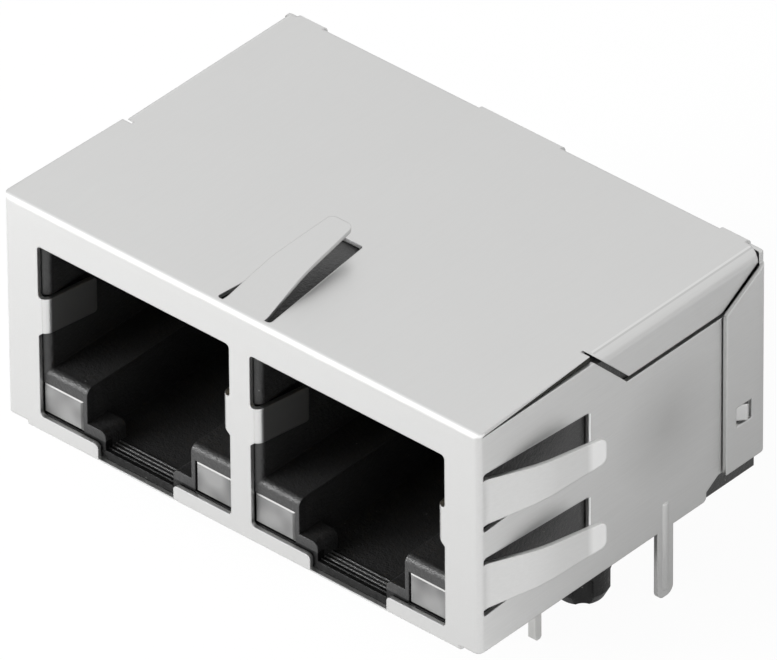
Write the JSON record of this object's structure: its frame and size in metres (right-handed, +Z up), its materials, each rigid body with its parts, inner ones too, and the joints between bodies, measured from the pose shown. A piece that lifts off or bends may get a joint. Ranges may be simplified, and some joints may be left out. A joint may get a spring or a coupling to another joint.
{
  "type": "board jack",
  "caption": "Shielded side-by-side modular network jack for a circuit board, latch side down, with lamps beside each latch slot and spring fingers for a front panel.",
  "frame": {"origin": "on the board, midway between the axes of the two locating pegs", "axes": "+X across the two ports (to the right seen from the plug side), +Y from the plug side to the rear, +Z up from the board"},
  "size_m": [0.034, 0.0211, 0.0187],
  "materials": {
    "shield": "nickel plated copper alloy sheet, satin",
    "housing": "black glass-filled polymer, matt",
    "carrier": "black glass-filled polymer, matt",
    "lamp": "frosted translucent polymer",
    "contact": "gold plated phosphor bronze",
    "lead": "tinned"
  },
  "bodies": {
    "root": {"shield": "shield", "housing": "housing", "lamp_1_left": "lamp", "lamp_lead_1_left_1": "lead", "lamp_lead_1_left_2": "lead", "lamp_1_right": "lamp", "lamp_lead_1_right_1": "lead", "lamp_lead_1_right_2": "lead", "contact_1_1": "contact", "contact_1_2": "contact", "contact_1_3": "contact", "contact_1_4": "contact", "contact_1_5": "contact", "contact_1_6": "contact", "contact_1_7": "contact", "contact_1_8": "contact", "contact_carrier_1": "carrier", "lamp_2_left": "lamp", "lamp_lead_2_left_1": "lead", "lamp_lead_2_left_2": "lead", "lamp_2_right": "lamp", "lamp_lead_2_right_1": "lead", "lamp_lead_2_right_2": "lead", "contact_2_1": "contact", "contact_2_2": "contact", "contact_2_3": "contact", "contact_2_4": "contact", "contact_2_5": "contact", "contact_2_6": "contact", "contact_2_7": "contact", "contact_2_8": "contact", "contact_carrier_2": "carrier"}
  },
  "joints": []
}
